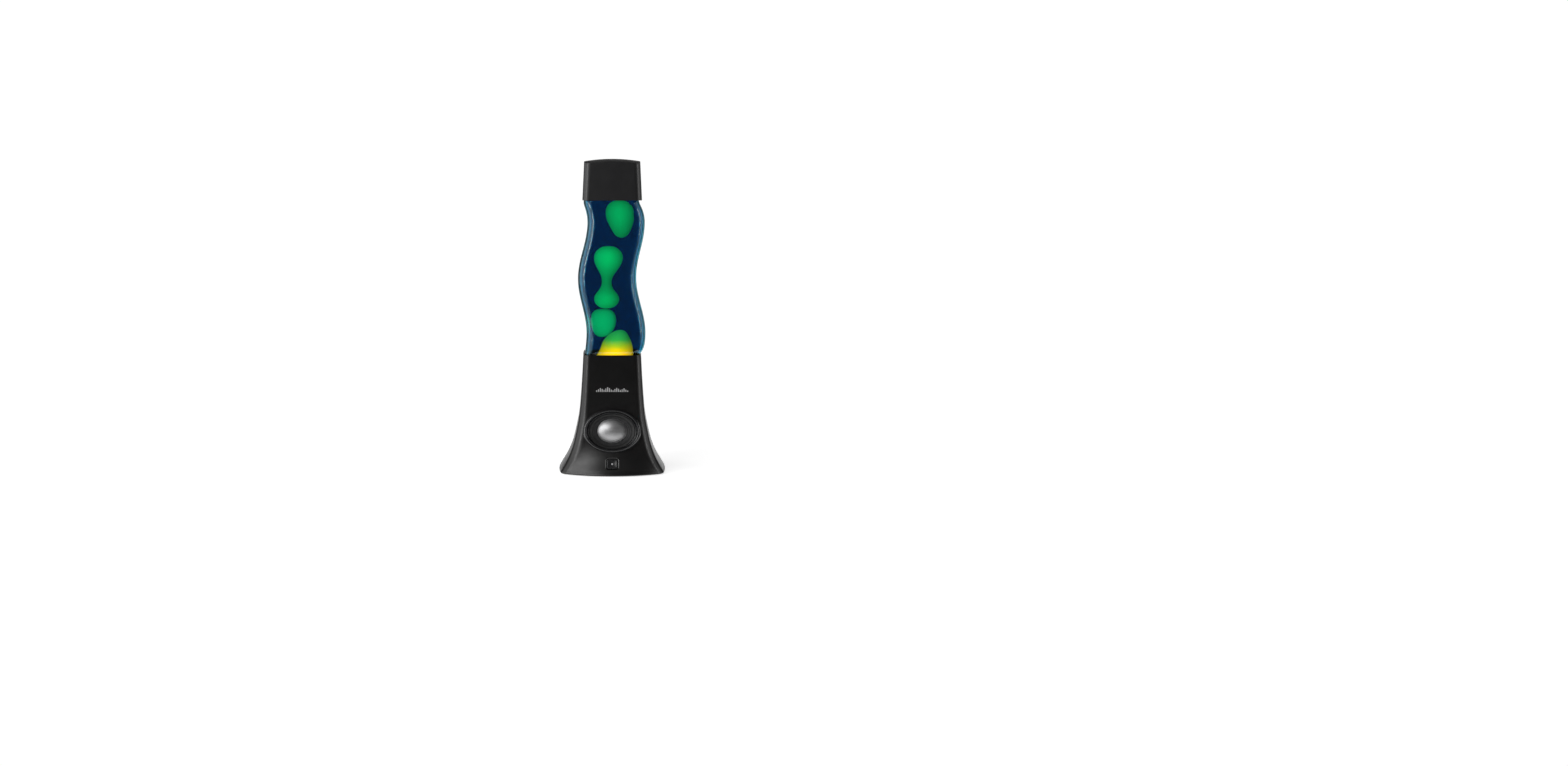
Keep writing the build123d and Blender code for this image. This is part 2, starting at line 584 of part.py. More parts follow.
# ---------------------------------------------------------------- bulb, holder and shield
def make_lamp():
    shield = ring(SHIELD_R + 0.8, SHIELD_R, SHIELD_BOTTOM_Z, SHIELD_TOP_Z)
    shield = shield + ring(SHIELD_R + 9.0, SHIELD_R + 0.4, FLANGE_Z, FLANGE_Z + 1.0)
    shield = shield + ring(SHIELD_R + 0.4, 13.6, SHIELD_BOTTOM_Z, SHIELD_BOTTOM_Z + 0.8)
    for i in range(6):
        slot = Pos(0, 0, 100.0) * Rot(0, 0, 60 * i) * Pos(SHIELD_R, 0, 0) * Box(8, 5, 16)
        shield = shield - slot
    for x, y in shield_boss_places():
        shield = shield - upright(SCREW_R + 0.2, FLANGE_Z - 1, FLANGE_Z + 2, x, y)
    for x in (-15.6, 15.6):
        shield = shield - upright(1.1, SHIELD_BOTTOM_Z - 1, SHIELD_BOTTOM_Z + 2, x, 0)
    save("heat_shield", shield)
    screw = pan_screw(SCREW_R, 6.0, 2.9, 1.8)
    save("shield_screws", group(Pos(x, y, FLANGE_Z) * screw for x, y in shield_boss_places()))

    holder = turned([(0, 60.0), (12.5, 60.0), (12.5, 83.0), (18.5, 83.0), (18.5, 86.0), (13.4, 86.0),
                     (13.4, 92.0), (7.5, 92.0), (7.5, 64.0), (0, 64.0)])
    for x in (-15.6, 15.6):
        holder = holder - upright(0.9, 82, 87, x, 0)
    for x in (-4.0, 4.0):
        holder = holder - upright(1.4, 59, 65, x, 3.6)
    save("lamp_holder", holder)
    screws = group(Pos(x, 0, SHIELD_BOTTOM_Z + 0.8) * Rot(180, 0, 0) * pan_screw(0.9, 3.6, 2.0, 1.2)
                   for x in (-15.6, 15.6))
    save("holder_screws", screws)
    save("holder_shell", ring(7.5, SCREW_BASE_R + 0.06, 70.0, 90.0))
    save("centre_contact", upright(3.0, 64.0, 65.0) + upright(1.2, 65.0, BULB_TIP_Z))

    glass = [(SCREW_BASE_R - 0.6, 91.0), (8.2, 96.0), (13.5, 108.0), (18.8, 121.0), (BULB_R, 125.5),
             (18.0, 131.5), (12.0, 134.2), (0, BULB_TOP_Z)]
    inside = [(max(r - 0.8, 0), z - (0.8 if z > 130 else 0)) for r, z in glass[::-1]]
    save("bulb_glass", turned(glass + inside[:-1] + [(SCREW_BASE_R - 1.4, 91.0)]))
    base = turned([(0, BULB_TIP_Z), (2.4, BULB_TIP_Z), (2.4, 69.0), (5.6, 71.5), (SCREW_BASE_R, 72.5),
                   (SCREW_BASE_R, 91.0), (0, 91.0)])
    for i in range(4):
        base = base - Pos(0, 0, 75.5 + 3.6 * i) * Torus(SCREW_BASE_R + 0.3, 0.7)
    save("bulb_base", base)
    stem = turned([(0, 91.0), (3.0, 91.0), (2.4, 97.0), (1.6, 103.0), (0, 103.0)])
    posts = [Line((s * 0.8, 0, 102.0), (s * 6.0, 0, 117.0)) for s in (-1, 1)]
    wires = [sweep(Plane(origin=p @ 0, z_dir=p % 0) * Circle(0.25), path=p) for p in posts]
    coil_line = Spline((-6.0, 0, 117.0), (-3.0, 2.0, 118.0), (0, 2.6, 118.4), (3.0, 2.0, 118.0), (6.0, 0, 117.0))
    coil = sweep(Plane(origin=coil_line @ 0, z_dir=coil_line % 0) * Circle(0.45), path=coil_line)
    mount = stem + wires[0] + wires[1]
    save("bulb_mount", mount)
    save("bulb_filament", coil - mount)


# ---------------------------------------------------------------- boards and inlet
def board_post_places():
    places = []
    for x, y, w, d in BOARDS.values():
        places += [(x + i * (w / 2 - 3.5), y + j * (d / 2 - 3.5)) for i in (-1, 1) for j in (-1, 1)]
    return places


def make_boards():
    top = POST_TOP + BOARD_THICK
    for name, (x, y, w, d) in BOARDS.items():
        board = Pos(x, y, POST_TOP) * Box(w, d, BOARD_THICK, align=UP)
        for px, py in board_post_places():
            board = board - upright(1.1, POST_TOP - 1, top + 1, px, py)
        save(name, board)
    screw = Rot(180, 0, 0) * pan_screw(0.9, 5.0, 2.0, 1.2)
    save("board_screws", group(Pos(x, y, top) * screw for x, y in board_post_places()))

    def block(w, d, h, x, y):
        body = Pos(x, y, top) * Box(w, d, h, align=UP)
        return chamfer(body.edges().group_by(Axis.Z)[-1], 0.5)

    core = block(18, 15, 15, -27.0, 22.0)
    save("power_transformer", core)
    can = fillet(upright(5.0, top, top + 17, -34.0, 3.0).edges().group_by(Axis.Z)[-1], 0.8)
    save("power_capacitor", can)
    save("fuse", Pos(-21.0, 3.0, top + 3.0) * Rot(90, 0, 0) * Cylinder(2.6, 12.0))
    save("wireless_module", block(15, 20, 2.2, 27.0, 28.0))
    save("amplifier_chip", block(9, 9, 1.6, 23.0, 8.0))
    caps = group(fillet(upright(3.2, top, top + 9, 34.5, y).edges().group_by(Axis.Z)[-1], 0.5)
                 for y in (4.0, 12.0))
    save("audio_capacitors", caps)


def make_inlet(outer):
    body = inlet_block() & outer
    body = body & (Pos(0, 40.0, INLET_Z) * Box(60, 27, 60, align=(Align.CENTER, Align.MIN, Align.CENTER)))
    mouth = Plane(origin=(0, 46.5, INLET_Z), x_dir=(1, 0, 0), z_dir=(0, 1, 0))
    socket = mouth.location * extrude(SlotOverall(14.6, 8.6), 30)
    body = body - socket
    pins = [mouth.location * Pos(x, 0, -10.0) * Cylinder(1.18, 18.0, align=UP)
            for x in (-4.3, 4.3)]
    for pin in pins:
        body = body - pin
    save("power_inlet", body)
    save("inlet_pins", group(pins))


# ---------------------------------------------------------------- wires
def wire(points, radius, wire_r):
    line = FilletPolyline(*points, radius=radius)
    return sweep(Plane(origin=line @ 0, z_dir=line % 0) * Circle(wire_r), path=line)


def make_wires():
    """Leads inside the base: power board to lamp holder, inlet to power board, audio board to driver."""
    top = POST_TOP + BOARD_THICK
    lamp = [
        wire([(x0, -5.6, top), (x0, -5.6, 40.0), (x1, 3.6, 50.0), (x1, 3.6, 65.0)], 4.0, 0.8)
        for x0, x1 in ((-21.0, -4.0), (-17.0, 4.0))
    ]
    save("lamp_leads", group(lamp))
    mains = [
        wire([(x, 36.5, INLET_Z), (x, y, INLET_Z), (-13.0, y, INLET_Z), (-13.0, y, top)], 2.0, 0.8)
        for x, y in ((-4.3, 31.0), (4.3, 27.0))
    ]
    save("mains_leads", group(mains))
    tilt = math.radians(SPEAKER_TILT)
    tab_y = -SPEAKER_FRONT - 19.4 * math.sin(tilt) + 17.6 * math.cos(tilt)
    tab_z = SPEAKER_Z - 20.25 * math.cos(tilt) - 17.6 * math.sin(tilt)
    sound = [
        wire([(x0, -5.6, top), (x0, -5.6, 24.0), (x1, tab_y, 24.0), (x1, tab_y, tab_z - 0.5)], 4.0, 0.7)
        for x0, x1 in ((16.0, -6.0), (20.0, 6.0))
    ]
    save("speaker_leads", group(sound))


def main():
    os.makedirs("parts", exist_ok=True)
    glass, hollow = make_bottle()
    save("glass_bottle", glass)
    make_filling(hollow)
    make_closure()
    make_cap()
    save("bottle_gasket", ring(33.5, 29.0, LEDGE_Z, BOTTLE_Z))
    outer = base_outer()
    save("base_shell", make_shell(outer))
    make_bottom()
    make_speaker(outer)
    make_button(outer)
    make_lamp()
    make_boards()
    make_inlet(outer)
    make_wires()


main()
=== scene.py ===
"""Looks for the lava lamp: camera, light, materials for the CAD nodes and finer pieces for some of them.

Metres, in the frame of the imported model: +Z up, origin on the floor under the base, the speaker faces -Y.
"""

import math

import bmesh
import bpy
from mathutils import Matrix, Vector, noise
from mathutils.bvhtree import BVHTree


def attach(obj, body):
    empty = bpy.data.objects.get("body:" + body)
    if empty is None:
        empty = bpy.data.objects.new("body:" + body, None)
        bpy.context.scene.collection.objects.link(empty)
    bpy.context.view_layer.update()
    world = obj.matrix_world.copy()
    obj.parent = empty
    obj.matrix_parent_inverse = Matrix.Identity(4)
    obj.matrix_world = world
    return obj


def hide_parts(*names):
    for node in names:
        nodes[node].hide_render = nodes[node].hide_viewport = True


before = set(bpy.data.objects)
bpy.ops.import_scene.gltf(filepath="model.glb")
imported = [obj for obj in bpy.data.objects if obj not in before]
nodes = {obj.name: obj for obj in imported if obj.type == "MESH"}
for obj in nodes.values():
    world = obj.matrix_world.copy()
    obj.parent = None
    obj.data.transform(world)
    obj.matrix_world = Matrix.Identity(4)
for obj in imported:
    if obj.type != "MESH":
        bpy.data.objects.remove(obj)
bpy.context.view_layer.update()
scene = bpy.context.scene
MM = 0.001

# ------------------------------------------------------------------ stage, light and camera
CAMERA_DISTANCE = 2.400
CAMERA_HEIGHT = 0.415
CAMERA_PITCH = 7.154
LENS = 42.2345
SENSOR = 36.0
SHIFT_X = 0.109566

FLOOR_RADIUS = 0.28
FLOOR_GLOW = 0.72

WHITE = 1.03
ROOM = 0.055
SOFT_WALLS = [
    # direction, where it starts and is full (cosine), brightness
    ((-1.0, -0.15, 0.12), 0.66, 0.95, 1.5),
    ((1.0, -0.05, 0.12), 0.80, 0.98, 0.9),
    ((0.0, 0.0, 1.0), 0.60, 0.98, 0.15),
    ((0.1, 1.0, -0.3), 0.84, 0.96, 1.0),
]


def add_camera():
    data = bpy.data.cameras.new("camera")
    data.lens = LENS
    data.sensor_width = SENSOR
    data.shift_x = SHIFT_X
    data.clip_start = 0.05
    data.clip_end = 50.0
    cam = bpy.data.objects.new("camera", data)
    cam.location = (0.0, -CAMERA_DISTANCE, CAMERA_HEIGHT)
    cam.rotation_euler = (math.radians(90.0 - CAMERA_PITCH), 0.0, 0.0)
    scene.collection.objects.link(cam)
    scene.camera = cam


def add_area(name, place, aim, size, power):
    data = bpy.data.lights.new(name, "AREA")
    data.shape = "RECTANGLE"
    data.size, data.size_y = size
    data.energy = power
    light = bpy.data.objects.new(name, data)
    light.location = place
    way = Vector(aim) - Vector(place)
    light.rotation_euler = way.to_track_quat("-Z", "Y").to_euler()
    scene.collection.objects.link(light)


def add_stage():
    """A round pale floor, bright enough to run into the white behind it."""
    bm = bmesh.new()
    bmesh.ops.create_circle(bm, cap_ends=True, segments=96, radius=FLOOR_RADIUS)
    mesh = bpy.data.meshes.new("stage_floor")
    bm.to_mesh(mesh)
    bm.free()
    floor = bpy.data.objects.new("stage_floor", mesh)
    scene.collection.objects.link(floor)
    mat = bpy.data.materials.new("stage_pale")
    mat.use_nodes = True
    shader = mat.node_tree.nodes["Principled BSDF"]
    shader.inputs["Base Color"].default_value = (0.93, 0.93, 0.93, 1.0)
    shader.inputs["Roughness"].default_value = 0.9
    shader.inputs["Specular IOR Level"].default_value = 0.1
    shader.inputs["Emission Color"].default_value = (1.0, 1.0, 1.0, 1.0)
    shader.inputs["Emission Strength"].default_value = FLOOR_GLOW
    mesh.materials.append(mat)


def add_world():
    """White behind the lamp; reflections and refractions see a dim room with a soft light wall on each side."""
    world = bpy.data.worlds.new("studio")
    world.use_nodes = True
    tree = world.node_tree
    background = tree.nodes["Background"]
    coords = tree.nodes.new("ShaderNodeTexCoord")
    total = None
    for way, edge, core, power in SOFT_WALLS:
        facing = tree.nodes.new("ShaderNodeVectorMath")
        facing.operation = "DOT_PRODUCT"
        facing.inputs[1].default_value = Vector(way).normalized()
        wall = tree.nodes.new("ShaderNodeMapRange")
        wall.interpolation_type = "SMOOTHSTEP"
        for key, value in zip(("From Min", "From Max", "To Min", "To Max"), (edge, core, 0.0, power)):
            wall.inputs[key].default_value = value
        add = tree.nodes.new("ShaderNodeMath")
        add.operation = "ADD"
        tree.links.new(coords.outputs["Generated"], facing.inputs[0])
        tree.links.new(facing.outputs["Value"], wall.inputs["Value"])
        tree.links.new(wall.outputs["Result"], add.inputs[0])
        if total:
            tree.links.new(total, add.inputs[1])
        else:
            add.inputs[1].default_value = ROOM
        total = add.outputs["Value"]
    path = tree.nodes.new("ShaderNodeLightPath")
    seen = tree.nodes.new("ShaderNodeMix")
    seen.inputs["B"].default_value = WHITE
    tree.links.new(total, seen.inputs["A"])
    tree.links.new(path.outputs["Is Camera Ray"], seen.inputs["Factor"])
    tree.links.new(seen.outputs["Result"], background.inputs["Strength"])
    background.inputs["Color"].default_value = (1.0, 1.0, 1.0, 1.0)
    scene.world = world
    scene.view_settings.view_transform = "Standard"


def add_light():
    add_world()
    add_area("strip_left", (-1.3, -0.9, 0.5), (0, 0, 0.2), (0.15, 0.9), 4.0)
    add_area("strip_right", (1.4, -0.5, 0.5), (0, 0, 0.2), (0.15, 0.9), 2.5)
    add_area("soft_upper_left", (-0.9, -1.3, 1.15), (0, 0, 0.1), (0.9, 0.7), 9.0)


# ------------------------------------------------------------------ material tools
class Mat:
    """A material being built: keeps the node tree, its shader and short calls for the nodes used here."""

    def __init__(self, name, colour=(0.5, 0.5, 0.5), rough=0.5, metal=0.0, **inputs):
        self.mat = bpy.data.materials.new(name)
        self.mat.use_nodes = True
        self.tree = self.mat.node_tree
        self.shader = self.tree.nodes["Principled BSDF"]
        self.shader.inputs["Base Color"].default_value = (*colour, 1.0)
        self.shader.inputs["Roughness"].default_value = rough
        self.shader.inputs["Metallic"].default_value = metal
        for key, value in inputs.items():
            self.shader.inputs[key.replace("_", " ")].default_value = value

    def node(self, kind, **props):
        made = self.tree.nodes.new(kind)
        for key, value in props.items():
            setattr(made, key, value)
        return made

    def link(self, out, into):
        self.tree.links.new(out, into)

    def place(self, scale=(1.0, 1.0, 1.0)):
        """Object coordinates in metres, stretched by scale."""
        coords = self.node("ShaderNodeTexCoord")
        mapping = self.node("ShaderNodeMapping")
        mapping.inputs["Scale"].default_value = scale
        self.link(coords.outputs["Object"], mapping.inputs["Vector"])
        return mapping.outputs["Vector"]

    def noise(self, scale, detail=3.0, rough=0.5, stretch=(1.0, 1.0, 1.0)):
        tex = self.node("ShaderNodeTexNoise")
        tex.inputs["Scale"].default_value = scale
        tex.inputs["Detail"].default_value = detail
        tex.inputs["Roughness"].default_value = rough
        self.link(self.place(stretch), tex.inputs["Vector"])
        return tex.outputs["Fac"]

    def ramp(self, value, stops):
        """Colour ramp through (position, (r, g, b)) stops."""
        ramp = self.node("ShaderNodeValToRGB")
        band = ramp.color_ramp
        while len(band.elements) < len(stops):
            band.elements.new(0.5)
        for element, (position, colour) in zip(band.elements, stops):
            element.position = position
            element.color = (*colour, 1.0)
        self.link(value, ramp.inputs["Fac"])
        return ramp.outputs["Color"]

    def levels(self, value, low, high, out_low, out_high):
        rng = self.node("ShaderNodeMapRange")
        rng.inputs["From Min"].default_value = low
        rng.inputs["From Max"].default_value = high
        rng.inputs["To Min"].default_value = out_low
        rng.inputs["To Max"].default_value = out_high
        self.link(value, rng.inputs["Value"])
        return rng.outputs["Result"]

    def sum(self, a, b):
        add = self.node("ShaderNodeMath", operation="ADD")
        self.link(a, add.inputs[0])
        self.link(b, add.inputs[1])
        return add.outputs["Value"]

    def colour(self, out):
        self.link(out, self.shader.inputs["Base Color"])

    def rough(self, out):
        self.link(out, self.shader.inputs["Roughness"])

    def bump(self, height, distance, strength=1.0):
        """distance is the relief's depth in metres."""
        bump = self.node("ShaderNodeBump")
        bump.inputs["Strength"].default_value = strength
        bump.inputs["Distance"].default_value = distance
        self.link(height, bump.inputs["Height"])
        self.link(bump.outputs["Normal"], self.shader.inputs["Normal"])


def grained_plastic(name, dark, light, rough, grain=1500.0, depth=0.000008, coat=0.0):
    """Moulded plastic: slight mottling, fine spark-eroded grain and uneven gloss."""
    m = Mat(name, dark, rough)
    m.colour(m.ramp(m.noise(60.0, 4.0), [(0.35, dark), (0.7, light)]))
    m.rough(m.levels(m.noise(140.0, 5.0), 0.3, 0.7, rough - 0.02, rough + 0.03))
    m.bump(m.noise(grain, 2.0, 0.6), depth, 0.4)
    m.shader.inputs["Coat Weight"].default_value = coat
    m.shader.inputs["Coat Roughness"].default_value = 0.12
    return m.mat


def brushed_metal(name, dark, light, rough, stretch=(1.0, 1.0, 30.0)):
    m = Mat(name, light, rough, 1.0)
    streak = m.noise(90.0, 6.0, 0.7, stretch)
    m.colour(m.ramp(streak, [(0.25, dark), (0.75, light)]))
    m.rough(m.levels(streak, 0.2, 0.8, rough - 0.08, rough + 0.12))
    m.bump(streak, 0.00001, 0.6)
    return m.mat


def rubbery(name, dark, light, rough=0.75):
    m = Mat(name, dark, rough)
    m.colour(m.ramp(m.noise(220.0, 5.0), [(0.3, dark), (0.75, light)]))
    m.rough(m.levels(m.noise(500.0, 3.0), 0.3, 0.7, rough - 0.1, rough + 0.1))
    m.bump(m.noise(2200.0, 2.0), 0.00004, 0.6)
    return m.mat


# ------------------------------------------------------------------ glass, liquid and wax materials
GLASS_TINT = (0.15, 0.80, 1.0)
LIQUID_IOR = 1.01
LIQUID_TINT = (0.5, 0.85, 0.95)
LIQUID_DYE = (0.10, 0.28, 0.44, 1.0)
LIQUID_DENSITY = 75.0
CROWN_CENTRE = (0.006, -0.004)


def bottle_glass():
    m = Mat("bottle_glass", GLASS_TINT, 0.0, 0.0, Transmission_Weight=1.0, IOR=1.47)
    m.bump(m.noise(9.0, 2.0, 0.4, (1.0, 1.0, 0.25)), 0.0004, 0.35)
    return m.mat


def tinted_liquid():
    """Blue dye: some of it tints the surface, the rest darkens with depth."""
    m = Mat("blue_liquid", LIQUID_TINT, 0.0, 0.0, Transmission_Weight=1.0, IOR=LIQUID_IOR)
    volume = m.node("ShaderNodeVolumeAbsorption")
    volume.inputs["Color"].default_value = LIQUID_DYE
    volume.inputs["Density"].default_value = LIQUID_DENSITY
    m.link(volume.outputs["Volume"], m.tree.nodes["Material Output"].inputs["Volume"])
    return m.mat


def painted_glow_wax(name, stops, low, high, strength, crown=0.0, lit_side=(-0.85, -0.5, 0.1), dim=0.62):
    """Painted light: the wax's emission stands in for the bulb's light from below, so it glows though it is no
    lamp.
    Its painted glow changes with height between low and high, sooner away from the middle by crown,
    and falls to dim, a painted shade, on the side that faces away from the given lit direction."""
    m = Mat(name, stops[0][1], 0.35)
    place = m.place()
    split = m.node("ShaderNodeSeparateXYZ")
    m.link(place, split.inputs["Vector"])
    # Painted bulb light: the colour runs through the stops with height, and with crown sooner off the middle
    rise = m.levels(split.outputs["Z"], low, high, 0.0, 1.0)
    if crown:
        x, y = CROWN_CENTRE
        off_axis = m.node("ShaderNodeVectorMath", operation="MULTIPLY_ADD")
        m.link(place, off_axis.inputs[0])
        off_axis.inputs[1].default_value = (crown, crown, 0.0)
        off_axis.inputs[2].default_value = (-x * crown, -y * crown, 0.0)
        reach = m.node("ShaderNodeVectorMath", operation="DOT_PRODUCT")
        m.link(off_axis.outputs["Vector"], reach.inputs[0])
        m.link(off_axis.outputs["Vector"], reach.inputs[1])
        rise = m.sum(rise, m.levels(reach.outputs["Value"], 0.0, 0.1, 0.0, 0.4))
    shade = m.ramp(m.sum(rise, m.levels(m.noise(55.0, 3.0), 0.3, 0.7, -0.04, 0.04)), stops)
    m.colour(shade)
    # Painted shade: the emission falls to dim on the side facing away from the given lit direction
    normal = m.node("ShaderNodeTexCoord").outputs["Normal"]
    side = m.node("ShaderNodeVectorMath", operation="DOT_PRODUCT")
    m.link(normal, side.inputs[0])
    side.inputs[1].default_value = lit_side
    painted_side_shade = m.node("ShaderNodeVectorMath", operation="SCALE")
    m.link(shade, painted_side_shade.inputs[0])
    m.link(m.levels(side.outputs["Value"], -0.6, 0.5, dim, 1.0), painted_side_shade.inputs["Scale"])
    # Painted glow: the ramp colour, with its painted side shade, is given off as emission
    m.link(painted_side_shade.outputs["Vector"], m.shader.inputs["Emission Color"])
    m.shader.inputs["Emission Strength"].default_value = strength
    m.shader.inputs["Specular IOR Level"].default_value = 0.2
    m.bump(m.noise(40.0, 2.0), 0.0006, 0.3)
    return m.mat


# ------------------------------------------------------------------ mesh tools
def mesh_object(name, bm, material, body, smooth=True):
    mesh = bpy.data.meshes.new(name)
    bmesh.ops.recalc_face_normals(bm, faces=bm.faces[:])
    bm.to_mesh(mesh)
    bm.free()
    for poly in mesh.polygons:
        poly.use_smooth = smooth
    obj = bpy.data.objects.new(name, mesh)
    scene.collection.objects.link(obj)
    mesh.materials.append(material)
    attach(obj, body)
    return obj


def dress(material, *names):
    for name in names:
        mesh = nodes[name].data
        mesh.materials.clear()
        mesh.materials.append(material)


def smooth_path(points, steps, before=None, after=None):
    """Catmull-Rom curve through points, steps samples to a span; before and after set its end slopes."""
    line = [before or points[0], *points, after or points[-1]]
    path = []
    for a, b, c, d in zip(line, line[1:], line[2:], line[3:]):
        for step in range(steps):
            t = step / steps
            path.append([
                0.5 * (2 * q + (r - p) * t + (2 * p - 5 * q + 4 * r - v) * t**2
                       + (3 * q - p - 3 * r + v) * t**3)
                for p, q, r, v in zip(a, b, c, d)
            ])
    path.append(list(points[-1]))
    return path


def mirrored(level):
    z, r, x, y = level
    return (z, -r, x, y)


def skin(bm, rings, close_first=False, close_last=False):
    """Quads between rings of equal length, each a closed loop of points; a ring of one point is a pole."""
    made = [[bm.verts.new(p) for p in ring] for ring in rings]
    for low, high in zip(made, made[1:]):
        count = max(len(low), len(high))
        for i in range(count):
            j = (i + 1) % count
            if len(low) == 1:
                bm.faces.new((low[0], high[j], high[i]))
            elif len(high) == 1:
                bm.faces.new((low[i], low[j], high[0]))
            else:
                bm.faces.new((low[i], low[j], high[j], high[i]))
    if close_first:
        bm.faces.new(made[0][::-1])
    if close_last:
        bm.faces.new(made[-1])


# ------------------------------------------------------------------ liquid
OVERLAP = 0.0003
BOTTLE_FLOOR = 0.1452
LIQUID_TOP = 0.369


def skin_of(node):
    return BVHTree.FromObject(nodes[node], bpy.context.evaluated_depsgraph_get())


def add_liquid():
    """The liquid as one body without hollows, reaching a hair into the glass so that no air shows between."""
    glass = skin_of("glass_bottle")
    levels, sides = 110, 144
    low, high = BOTTLE_FLOOR + 0.0004, LIQUID_TOP
    rings = []
    for k in range(levels + 1):
        z = low + (high - low) * k / levels
        ring = []
        for i in range(sides):
            a = 2 * math.pi * i / sides
            way = Vector((math.cos(a), math.sin(a), 0.0))
            hit = glass.ray_cast(Vector((0.0, 0.0, z)), way)[0]
            ring.append(hit + way * OVERLAP)
        rings.append(ring)
    rings.insert(0, [Vector((p.x * 0.985, p.y * 0.985, BOTTLE_FLOOR - OVERLAP)) for p in rings[0]])
    bm = bmesh.new()
    skin(bm, rings, close_first=True, close_last=True)
    liquid = mesh_object("liquid_body", bm, tinted_liquid(), "bottle")
    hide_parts("lamp_liquid")


# ------------------------------------------------------------------ wax
# Strengths of the wax's painted glow, emission standing in for the bulb's light
WAX_PAINTED_GLOW = 1.25
LOW_WAX_PAINTED_GLOW = 4.1
MOUND_PAINTED_GLOW = 26.0
# levels of (height, radius, x, y) in mm
UPPER_WAX = [
    (304.6, 0, 12.0, -5.0), (305.8, 4.6, 12.0, -5.0), (308.2, 8.0, 12.0, -5.0), (312.8, 11.2, 11.9, -5.0),
    (317.5, 13.6, 11.6, -5.0), (322.5, 15.7, 11.2, -5.0), (327.5, 17.3, 10.7, -5.0), (332.5, 18.1, 10.2, -5.0),
    (337.5, 18.3, 9.9, -5.0), (342.5, 17.4, 9.7, -5.0), (347.4, 14.6, 9.6, -5.0), (351.3, 9.4, 9.6, -5.0),
    (353.0, 0, 9.6, -5.0),
]
MIDDLE_WAX = [
    (213.0, 0, -7.2, -9.0), (214.4, 8.0, -7.2, -9.0), (217.0, 12.3, -7.2, -9.0), (220.4, 15.0, -7.2, -9.0),
    (224.9, 16.2, -7.2, -9.0), (229.6, 15.2, -7.3, -9.0), (233.8, 12.4, -7.4, -9.0), (238.4, 8.8, -7.4, -9.0),
    (243.5, 6.7, -7.2, -9.0), (249.0, 6.3, -7.0, -9.0), (255.0, 7.8, -6.5, -9.0), (261.3, 11.4, -5.8, -9.0),
    (267.5, 15.2, -5.3, -9.0), (274.0, 18.0, -5.0, -9.0), (280.6, 18.5, -4.8, -9.0), (286.6, 16.4, -4.8, -9.0),
    (291.3, 11.4, -4.8, -9.0), (293.4, 6.2, -4.8, -9.0), (294.0, 0, -4.8, -9.0),
]
LOWER_WAX = [
    (173.2, 0, -13.6, 14.5), (174.2, 5.0, -13.5, 14.5), (176.6, 9.2, -13.2, 14.5),
    (180.7, 13.2, -12.8, 14.5), (185.9, 16.0, -12.6, 14.5), (191.2, 17.5, -12.6, 14.5),
    (196.5, 17.8, -12.5, 14.5), (201.6, 16.6, -12.3, 14.5), (206.0, 13.8, -12.0, 14.5),
    (209.2, 9.0, -11.8, 14.5), (210.6, 0, -11.6, 14.5),
]
MOUND = [
    (145.25, 24.4, 2.8, -2.0), (150.8, 24.2, 3.6, -2.3), (155.0, 22.9, 4.8, -2.6), (159.3, 21.4, 5.6, -3.0),
    (164.5, 20.0, 6.1, -3.6), (169.8, 18.1, 6.4, -4.2), (175.0, 15.1, 7.2, -5.0), (179.3, 11.6, 8.4, -5.8),
    (182.4, 7.6, 9.7, -6.6), (184.1, 3.8, 10.3, -7.0), (184.7, 0, 10.4, -7.1),
]


def wax_shape(name, levels, material, body, node, seed, flat_foot=False):
    """Turned wax through levels of (height, radius, x, y) in mm, with a slow swelling of its skin."""
    sides, swell = 72, 0.35
    foot = None if flat_foot else mirrored(levels[1])
    path = smooth_path(levels, 8, foot, mirrored(levels[-2]))
    rings = []
    for z, r, x, y in path:
        if r < 0.05:
            rings.append([(x * MM, y * MM, z * MM)])
            continue
        ring = []
        for i in range(sides):
            a = 2 * math.pi * i / sides
            push = noise.noise(Vector((math.cos(a) * 1.1, math.sin(a) * 1.1, z * 0.05 + seed)))
            reach = r + swell * push * min(1.0, r / 6.0)
            ring.append(((x + reach * math.cos(a)) * MM, (y + reach * math.sin(a)) * MM, z * MM))
        rings.append(ring)
    bm = bmesh.new()
    skin(bm, rings, close_first=flat_foot)
    piece = mesh_object(name, bm, material, body)
    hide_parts(node)


def add_wax():
    green = [(0.0, (0.0, 0.80, 0.125)), (1.0, (0.0, 0.74, 0.125))]
    high_wax = painted_glow_wax("wax_high_skin", green, 0.17, 0.36, WAX_PAINTED_GLOW)
    # The lower wax's painted shade falls further, towards its back
    low_wax = painted_glow_wax("wax_low_skin", green, 0.17, 0.36, LOW_WAX_PAINTED_GLOW, lit_side=(-0.3, -1.0, 0.1), dim=0.22)
    wax_shape("wax_top", UPPER_WAX, high_wax, "upper_wax", "wax_blob_upper", 3.0)
    wax_shape("wax_pin", MIDDLE_WAX, high_wax, "middle_wax", "wax_blob_middle", 7.0)
    wax_shape("wax_low", LOWER_WAX, low_wax, "lower_wax", "wax_blob_lower", 12.0)
    # Painted bulb light: orange and yellow low on the mound, turning green higher up
    painted_bulb_light = [
        (0.0, (1.0, 0.060, 0.0)), (0.22, (1.0, 0.070, 0.0)), (0.42, (0.78, 0.075, 0.0)),
        (0.54, (0.34, 0.068, 0.001)), (0.68, (0.03, 0.055, 0.005)), (1.0, (0.0, 0.050, 0.009)),
    ]
    material = painted_glow_wax("wax_mound_skin", painted_bulb_light, 0.152, 0.190, MOUND_PAINTED_GLOW, 11.0)
    wax_shape("wax_bell", MOUND, material, "bottle", "wax_mound", 21.0, flat_foot=True)


